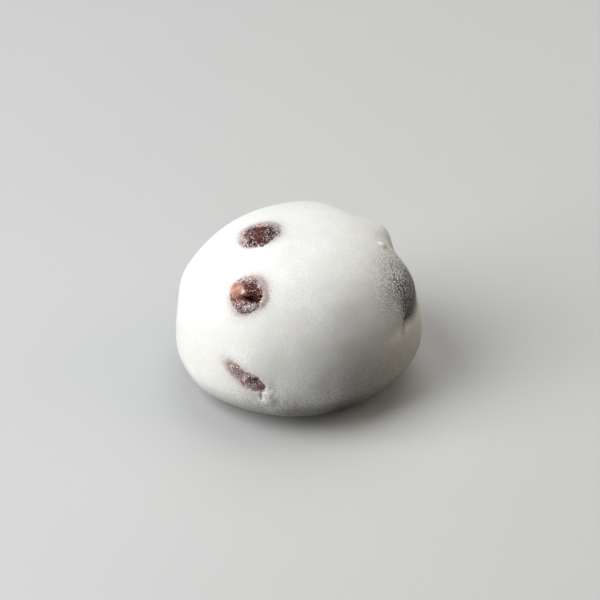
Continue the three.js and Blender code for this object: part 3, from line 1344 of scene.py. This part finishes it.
@dataclass(frozen=True)
class Skin:
    """The rice cake's skin: one closed surface, finest where it ends at a pea.

    Attributes:
        form: The cake's outer form.
        peas: The peas that it is drawn over.
        furrows: Its folds.
        knobs: Small lumps that stand on it.
        dustings: Where loose starch lies thicker on it.
        crusts: Where starch has caked on it, with painted shade in the gaps between its grains.
        puckers: Where it is puckered.
        least_crust: How much has caked everywhere.
        detail: How often the sphere that it starts from is divided.
        fine_bands: How far round a window's edge each further division reaches.
        least_fold: How deep a fold has to be for further division, divided by that reach.
        least_knob: How high a knob has to be for it.
        behind: How far behind a pea's middle it is still moved, as a share of the way to its back.
        pocket: How far under a bare pea the skin lies at its torn edge.
        deep_pocket: How much further under it lies in the middle.
        pocket_reach: How far inside the edge it lies as deep as that.
        edge: Half the width of the step down into a pocket.
        draw_down: How far the skin may be drawn down to a pea at its torn edge.
        blend: How softly it runs off a film onto the cake.
        lip_blend: How softly it runs off a torn edge's lip onto the cake.
        ripple: How uneven it is by hand.
        ripples: The sizes of that unevenness.
        pucker: How deep its puckers are.
        pucker_size: Of a pucker.
        fold_shade: The colour of the painted shade in a fold that is kept dark.
        rim_starch: How densely loose starch lies at a torn edge.
        rim_reach: How far from the edge it lies.
        stray_starch: How densely it lies in its clouds elsewhere.
        cloud_size: Of the clouds in it.
        between_clouds: How much of a dusting lies between the clouds.
        in_clouds: How much more of it lies in them.
        starch_foot: From how high over the foot it lies, and from how high in full.
        finish: Its material.
    """

    form: CakeForm
    peas: tuple[Pea, ...]
    furrows: tuple[Furrow, ...] = FURROWS
    knobs: tuple[Lobe, ...] = KNOBS
    dustings: tuple[Lobe, ...] = DUSTINGS
    crusts: tuple[Lobe, ...] = CRUSTS
    puckers: tuple[Lobe, ...] = PUCKERS
    least_crust: float = 0.10
    detail: int = 7
    fine_bands: tuple[float, ...] = (1.6, 0.6)
    least_fold: float = 0.05
    least_knob: float = 0.02
    behind: float = 0.5
    pocket: float = 0.3
    deep_pocket: float = 1.3
    pocket_reach: float = 1.0
    edge: float = 0.14
    draw_down: float = 1.2
    blend: float = 0.5
    lip_blend: float = 0.15
    ripple: float = 0.12
    ripples: tuple[Grade, ...] = (Grade(9.0, 1.0, 3.1), Grade(3.5, 0.35, 8.4), Grade(1.7, 0.15, 5.2))
    pucker: float = 0.16
    pucker_size: float = 1.4
    fold_shade: Colour = (0.15, 0.14, 0.145)
    rim_starch: float = 0.2
    rim_reach: float = 1.0
    stray_starch: float = 0.01
    cloud_size: float = 4.0
    between_clouds: float = 0.4
    in_clouds: float = 0.9
    starch_foot: tuple[float, float] = (0.2, 0.8)
    finish: RiceSkin = RiceSkin()

    def plain_points(self, toward: np.ndarray) -> np.ndarray:
        """The skin before it meets the peas, with its unevenness.

        Args:
            toward: Unit vectors from the core, one a row.

        Returns:
            One point for each.
        """
        mounds = tuple(pea.mound_lobe() for pea in self.peas)
        points = self.form.skin_points(toward, (*mounds, *self.knobs))
        raised = self.ripple * unevenness(points, self.ripples)
        for place in self.puckers:
            puckers = lumps(points, self.pucker_size, seed=2.2)
            raised = raised + self.pucker * place.lift(toward) * puckers
        for furrow in self.furrows:
            raised = raised - furrow.sink(toward)
        return points + toward * raised[:, None]

    def edge_distance(self, points: np.ndarray) -> np.ndarray:
        """How far each point is from the nearest torn edge.

        Args:
            points: Of the skin.

        Returns:
            Millimetres.
        """
        nearest = np.full(len(points), np.inf)
        for pea in self.peas:
            if pea.window is None:
                continue
            local = pea.placement(self.form).to_local(points)
            away = np.abs(pea.window.distance(local, pea.seed))
            nearest = np.minimum(nearest, np.where(local[:, 2] > 0.0, away, np.inf))
        return nearest

    def is_fine(self, toward: np.ndarray, band: float) -> np.ndarray:
        """Whether the skin needs smaller triangles.

        Args:
            toward: Unit vectors from the core, one a row.
            band: How far round a torn edge it needs them.

        Returns:
            True or False for each.
        """
        near = self.edge_distance(self.form.skin_points(toward, ())) < band
        for furrow in self.furrows:
            near |= np.abs(furrow.sink(toward)) > self.least_fold / band
        for knob in self.knobs:
            near |= knob.lift(toward) > self.least_knob
        return near

    def directions(self) -> tuple[np.ndarray, Faces]:
        """The unit vectors and faces that the skin is made on, divided further where it needs it.

        Returns:
            Unit vectors, and the faces as tuples of indices.
        """
        sphere = bmesh.new()
        bmesh.ops.create_icosphere(sphere, subdivisions=self.detail, radius=1.0)
        for band in self.fine_bands:
            near = self.is_fine(np.array([v.co.normalized()[:] for v in sphere.verts]), band)
            cut = [e for e in sphere.edges if near[e.verts[0].index] or near[e.verts[1].index]]
            bmesh.ops.subdivide_edges(sphere, edges=cut, cuts=1, use_grid_fill=True)
            bmesh.ops.triangulate(sphere, faces=[f for f in sphere.faces if len(f.verts) > 3])
            sphere.verts.index_update()
        toward = np.array([v.co.normalized()[:] for v in sphere.verts])
        faces = [tuple(v.index for v in f.verts) for f in sphere.faces]
        sphere.free()
        return toward, faces

    def draw_over(self, pea: Pea, points: np.ndarray) -> np.ndarray:
        """Draws the skin over one pea, and sinks it under the pea where it is torn.

        Args:
            pea: The pea.
            points: The skin's points.

        Returns:
            The moved points.
        """
        place = pea.placement(self.form)
        local = place.to_local(points)
        facing = local[:, 2] > -self.behind * pea.depth
        top = pea.top(local)
        if pea.window is None:
            facing &= top > 0.0
            height = soft_maximum(local[:, 2], top + pea.film, self.blend)
        else:
            outside = pea.window.distance(local, pea.seed)
            hugging = top + pea.window.lip + pea.window.thicken * np.maximum(outside, 0.0)
            over = soft_maximum(local[:, 2], hugging, self.lip_blend)
            drawn = np.minimum(np.maximum(hugging, local[:, 2] - self.draw_down), over)
            over += (drawn - over) * (1.0 - smooth_step(outside, 0.0, pea.window.cling))
            open_share = 1.0 - smooth_step(outside, -self.edge, self.edge)
            pocket = self.pocket + self.deep_pocket * smooth_step(-outside, self.edge, self.pocket_reach)
            height = over + (np.maximum(top, 0.0) - pocket - over) * open_share
        local[:, 2] = np.where(facing, height, local[:, 2])
        return place.to_cake(local)

    def shades(self, toward: np.ndarray, points: np.ndarray) -> np.ndarray:
        """The colour that shows through the skin at each point, or the painted shade in a fold, and how
        strongly.

        Args:
            toward: Unit vectors from the core, one a row.
            points: The finished skin's points.

        Returns:
            Four numbers a row.
        """
        tints = []
        for pea in self.peas:
            local = pea.placement(self.form).to_local(points) - np.array([*pea.lean, 0.0])
            local = local * np.array([pea.gather, 1.0, 1.0])
            gap = np.linalg.norm(local, axis=1) * (1.0 - 1.0 / pea.share(local))
            sunk = (np.maximum(gap, 0.0) / pea.fade) ** pea.falloff
            tints.append((pea.shade, pea.shade_strength * np.exp(-sunk)))
        # Painted shade along the folds that have a shadow, in the colour fold_shade.
        for furrow in self.furrows:
            tints.append((self.fold_shade, furrow.shadow * np.abs(furrow.sink(toward) / furrow.depth)))
        under = np.column_stack([np.ones((len(points), 3)), np.zeros(len(points))])
        for colour, shown in tints:
            stronger = shown > under[:, 3]
            under[stronger, :3] = colour
            under[stronger, 3] = shown[stronger]
        return under

    def starch(self, toward: np.ndarray, points: np.ndarray) -> np.ndarray:
        """How densely grains lie on the skin.

        Args:
            toward: Unit vectors from the core, one a row.
            points: The finished skin's points.

        Returns:
            From 0 to 1 for each.
        """
        rim = self.rim_starch * bell(self.edge_distance(points), self.rim_reach)
        cloudy = np.clip(0.5 + lumps(points, self.cloud_size, seed=17.0), 0.0, 1.0) ** 3
        dense = rim + self.stray_starch * cloudy
        for dusting in self.dustings:
            dense = dense + dusting.lift(toward) * (self.between_clouds + self.in_clouds * cloudy)
        return np.clip(dense, 0.0, 1.0) * smooth_step(points[:, 2], *self.starch_foot)

    def crust_and_gap_shade(self, toward: np.ndarray) -> np.ndarray:
        """How much the starch has caked into grains along each unit vector, from 0 to 1; the gaps between
        them get painted shade by as much.
        """
        caked = [place.lift(toward) for place in self.crusts]
        return np.clip(np.maximum.reduce(caked), self.least_crust, 1.0)

    def build(self) -> bpy.types.Object:
        """Makes the skin, dresses it, and puts it in place of its solid.

        Returns:
            The skin's object.
        """
        toward, faces = self.directions()
        points = self.plain_points(toward)
        for pea in self.peas:
            points = self.draw_over(pea, points)
        points = self.form.flatten_foot(points)
        skin = make_object("mochi_skin", points, faces)
        # under also carries the painted shade of the folds.
        paint(skin.data, "under", self.shades(toward, points))
        weigh(skin.data, "starch", self.starch(toward, points))
        weigh(skin.data, "crust_and_gap_shade", self.crust_and_gap_shade(toward))
        skin.data.materials.append(self.finish.material())
        settle(skin, Slot.RICE_CAKE, "mochi")
        for marks in (self.furrows, self.knobs, self.dustings, self.crusts, self.puckers):
            LOG.info("on the skin: %s", ", ".join(mark.name for mark in marks))
        return skin


# ---- Peas as pieces ----------------------------------------------------------------------------


@dataclass(frozen=True)
class PeaMaker:
    """Makes the peas, which share one finish.

    Attributes:
        form: The cake's outer form, which they lie on.
        dusty: From how far out loose grains lie on a bare pea, as a share of the way to its top.
        dustiest: From how far out they lie in full.
        finish: Their material.
    """

    form: CakeForm
    dusty: float = 0.4
    dustiest: float = 0.6
    finish: PeaCoat = PeaCoat()

    def build(self, peas: tuple[Pea, ...]) -> list[bpy.types.Object]:
        """Makes every pea, in order, with the one finish."""
        material = self.finish.material()
        return [self.make(pea, material) for pea in peas]

    def make(self, pea: Pea, material: bpy.types.Material) -> bpy.types.Object:
        """Makes one pea and puts it in place of its solid.

        Args:
            pea: The pea.
            material: Its finish.

        Returns:
            Its object.
        """
        local, faces = pea.surface()
        made = make_object(pea.node.replace("bean", "pea"), pea.placement(self.form).to_cake(local), faces)
        colours = pea.colours(local)
        paint(made.data, "coat", colours)
        outer = smooth_step(local[:, 2], self.dusty * pea.depth, self.dustiest * pea.depth)
        bare = 1.0 if pea.cover is Cover.TORN else 0.0
        weigh(made.data, "starch", colours[:, 3] * outer * bare)
        made.data.materials.append(material)
        settle(made, Slot.COOKED_PEA, pea.node)
        return made


# ---- Starch grains -----------------------------------------------------------------------------


@dataclass(frozen=True)
class StarchGrains:
    """Loose grains of starch, scattered by Geometry Nodes where a surface's starch is dense.

    Attributes:
        name: Of the finished piece.
        per_square_mm: How many grains lie where the starch is densest.
        smallest: The smallest grain's radius.
        largest: The largest grain's radius.
        seed: Of the scattering.
        slimmest: The least share of its radius that a grain has along each of its axes.
        fullest: The greatest such share.
    """

    name: str
    per_square_mm: float
    smallest: float
    largest: float
    seed: int
    slimmest: tuple[float, float, float] = (0.4, 0.6, 0.3)
    fullest: tuple[float, float, float] = (1.0, 1.0, 0.8)

    def tree(self, material: bpy.types.Material) -> bpy.types.GeometryNodeTree:
        """Builds the node tree that scatters the grains.

        Args:
            material: The grains' finish.

        Returns:
            The tree, with its sizes as named inputs.
        """
        tree = bpy.data.node_groups.new(self.name, "GeometryNodeTree")
        sizes = {"Density": "Float", "Smallest": "Float", "Largest": "Float", "Seed": "Int"}
        for name, kind in {"Surface": "Geometry", **sizes}.items():
            tree.interface.new_socket(name, in_out="INPUT", socket_type=f"NodeSocket{kind}")
        tree.interface.new_socket("Grains", in_out="OUTPUT", socket_type="NodeSocketGeometry")
        graph = Graph(tree)
        given = graph.add("NodeGroupInput").outputs
        seed = given["Seed"]
        dust = graph.add("GeometryNodeInputNamedAttribute", {"Name": "starch"}, data_type="FLOAT")
        density = graph.math("MULTIPLY", dust.outputs["Attribute"], given["Density"])
        where = {"Mesh": given["Surface"], "Density": density, "Seed": seed}
        scatter = graph.add("GeometryNodeDistributePointsOnFaces", where)
        ball = graph.add("GeometryNodeMeshIcoSphere", {"Subdivisions": 1})
        turns = {"Min": (0.0, 0.0, 0.0), "Max": (math.tau, math.tau, math.tau), "Seed": seed}
        turn = graph.add("FunctionNodeRandomValue", turns, data_type="FLOAT_VECTOR").outputs[0]
        shares = {"Min": self.slimmest, "Max": self.fullest, "Seed": seed}
        share = graph.add("FunctionNodeRandomValue", shares, data_type="FLOAT_VECTOR").outputs[0]
        radii = {2: given["Smallest"], 3: given["Largest"], "Seed": seed}
        radius = graph.add("FunctionNodeRandomValue", radii, data_type="FLOAT").outputs[1]
        scale = graph.add("ShaderNodeVectorMath", {0: share, "Scale": radius}, operation="SCALE").outputs[0]
        strewn = {"Points": scatter.outputs["Points"], "Instance": ball.outputs["Mesh"]}
        placed = graph.add("GeometryNodeInstanceOnPoints", {**strewn, "Rotation": turn, "Scale": scale})
        real = graph.add("GeometryNodeRealizeInstances", {"Geometry": placed.outputs["Instances"]})
        dress = {"Geometry": real.outputs["Geometry"], "Material": material}
        dressed = graph.add("GeometryNodeSetMaterial", dress)
        graph.add("NodeGroupOutput", {"Grains": dressed.outputs["Geometry"]})
        return tree

    def build(self, surfaces: list[bpy.types.Object], material: bpy.types.Material) -> bpy.types.Object:
        """Scatters the grains over some finished pieces, as one piece.

        Args:
            surfaces: The pieces that carry the starch.
            material: The grains' finish.

        Returns:
            The grains' object.
        """
        carrier = bmesh.new()
        for surface in surfaces:
            carrier.from_mesh(surface.data)
        mesh = bpy.data.meshes.new(f"{self.name}_host")
        carrier.to_mesh(mesh)
        carrier.free()
        host = bpy.data.objects.new(f"{self.name}_host", mesh)
        bpy.context.scene.collection.objects.link(host)
        modifier = host.modifiers.new("scatter", "NODES")
        modifier.node_group = self.tree(material)
        values = {
            "Density": self.per_square_mm / MM**2,
            "Smallest": self.smallest * MM,
            "Largest": self.largest * MM,
            "Seed": self.seed,
        }
        for item in modifier.node_group.interface.items_tree:
            if item.name in values:
                modifier[item.identifier] = values[item.name]
        view = bpy.context.evaluated_depsgraph_get()
        grains = bpy.data.objects.new(self.name, bpy.data.meshes.new_from_object(host.evaluated_get(view)))
        host.modifiers.remove(modifier)
        bpy.data.objects.remove(host)
        grains.data.name = self.name
        bpy.context.scene.collection.objects.link(grains)
        settle(grains, Slot.RICE_CAKE)
        return grains


PEA_GRAINS = StarchGrains("starch_on_peas", per_square_mm=14.0, smallest=0.04, largest=0.11, seed=4)
SKIN_GRAINS = StarchGrains("starch_on_skin", per_square_mm=60.0, smallest=0.04, largest=0.10, seed=11)


# ---- The studio --------------------------------------------------------------------------------


@dataclass(frozen=True)
class Softbox:
    """A square area light that faces the cake.

    Attributes:
        name: What it does.
        azimuth: Where it stands.
        elevation: Where it stands.
        distance: From the cake, in metres.
        side: Its size, in metres.
        power: In watts.
        colour: Of its light.
    """

    name: str
    azimuth: float
    elevation: float
    distance: float
    side: float
    power: float
    colour: Colour

    def build(self, aim: Vector) -> None:
        """Makes the light.

        Args:
            aim: The point that it is turned to.
        """
        lamp = bpy.data.lights.new(self.name, "AREA")
        lamp.shape = "SQUARE"
        lamp.size = self.side
        lamp.energy = self.power
        lamp.color = self.colour
        light = bpy.data.objects.new(self.name, lamp)
        offset = Vector(direction(self.azimuth, self.elevation)) * self.distance
        light.location = aim + offset
        light.rotation_euler = (-offset).to_track_quat("-Z", "Y").to_euler()
        light.visible_camera = False
        bpy.context.scene.collection.objects.link(light)


@dataclass(frozen=True)
class Studio:
    """A pale floor, soft light and the camera.

    Attributes:
        camera_elevation: How far the camera looks down.
        camera_distance: From the cake, in metres.
        camera_reach: How far it sees, in metres.
        lens: Its focal length.
        sensor: The width of its sensor.
        aim: The height on the cake's axis that the camera looks at.
        aim_right: How far right of the axis it looks, as seen.
        aim_up: How far above that height it looks, as seen.
        floor_side: In metres.
        sky: Light from all round, above the floor.
        ground: Light from all round, below it.
        horizon: The height, above and below, over which one becomes the other; 1 is straight up.
        sky_strength: Of both.
        lights: The area lights.
    """

    camera_elevation: float = 35.0
    camera_distance: float = 1.0
    camera_reach: float = 20.0
    lens: float = 258.0
    sensor: float = 36.0
    aim: float = 18.0
    aim_right: float = 0.56
    aim_up: float = 1.45
    floor_side: float = 4.0
    sky: Colour = (1.0, 0.97, 0.92)
    ground: Colour = (0.12, 0.11, 0.10)
    horizon: float = 0.3
    sky_strength: float = 0.006
    lights: tuple[Softbox, ...] = (
        Softbox("key", 199, 44, 0.7, 0.60, 5.7, (0.95, 0.97, 1.0)),
        Softbox("low_key", 205, 5, 0.7, 0.15, 2.1, (1.0, 0.97, 0.88)),
        Softbox("right_fill", 0, 35, 0.7, 0.60, 1.55, (1.0, 0.92, 0.77)),
        Softbox("back_fill", 75, 60, 0.7, 0.60, 2.25, (0.98, 1.0, 1.0)),
    )

    def build(self) -> None:
        """Sets up everything."""
        centre = Vector((0.0, 0.0, self.aim * MM))
        self.add_camera(centre)
        self.add_floor()
        self.add_sky()
        for light in self.lights:
            light.build(centre)
        scene = bpy.context.scene
        scene.view_settings.view_transform = "Standard"
        scene.view_settings.look = "None"

    def add_camera(self, centre: Vector) -> None:
        """Places the camera in front of the cake, looking down at it.

        Args:
            centre: The point on the cake's axis that it looks at, but for its own shifts.
        """
        tilt = math.radians(self.camera_elevation)
        back = Vector((0.0, -math.cos(tilt), math.sin(tilt)))
        up = Vector((0.0, math.sin(tilt), math.cos(tilt)))
        target = centre + Vector((self.aim_right * MM, 0.0, 0.0)) + up * self.aim_up * MM
        data = bpy.data.cameras.new("camera")
        data.lens = self.lens
        data.sensor_width = self.sensor
        data.clip_end = self.camera_reach
        camera = bpy.data.objects.new("camera", data)
        camera.location = target + back * self.camera_distance
        camera.rotation_euler = (-back).to_track_quat("-Z", "Y").to_euler()
        bpy.context.scene.collection.objects.link(camera)
        bpy.context.scene.camera = camera

    def add_floor(self) -> None:
        """Lays the floor under the cake. It doesn't throw light back up at it."""
        half = self.floor_side / 2.0 / MM
        corners = half * np.array([(-1.0, -1.0, 0.0), (1.0, -1.0, 0.0), (1.0, 1.0, 0.0), (-1.0, 1.0, 0.0)])
        floor = make_object("floor", corners, [(0, 1, 2, 3)])
        floor.data.materials.append(PaleFloor().material())
        floor.visible_diffuse = False

    def add_sky(self) -> None:
        """Gives light from all round, bright above the floor and faint below it."""
        world = bpy.data.worlds.new("sky")
        world.use_nodes = True
        graph = Graph(world.node_tree)
        place = graph.add("ShaderNodeTexCoord").outputs["Generated"]
        height = graph.add("ShaderNodeSeparateXYZ", {0: place}).outputs["Z"]
        edges = {"Value": height, "From Min": -self.horizon, "From Max": self.horizon}
        fade = graph.add("ShaderNodeMapRange", edges).outputs["Result"]
        background = world.node_tree.nodes["Background"].inputs
        graph.feed(background["Color"], graph.blend(fade, self.ground, self.sky))
        graph.feed(background["Strength"], self.sky_strength)
        bpy.context.scene.world = world


# ---- Everything in order -----------------------------------------------------------------------


def main() -> None:
    """Builds the cake in its frame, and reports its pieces."""
    logging.basicConfig(level=logging.INFO, format="%(name)s: %(message)s")
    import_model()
    form = CakeForm()
    LOG.info("the form: %s", ", ".join(lobe.name for lobe in form.lobes))
    Studio().build()
    peas = PeaMaker(form).build(PEAS)
    skin = Skin(form, PEAS).build()
    powder = Starch().material()
    grains = [PEA_GRAINS.build(peas, powder), SKIN_GRAINS.build([skin], powder)]
    for piece in (*peas, skin, *grains):
        LOG.info("%s: %d faces", piece.name, len(piece.data.polygons))


if __name__ == "__main__":
    main()
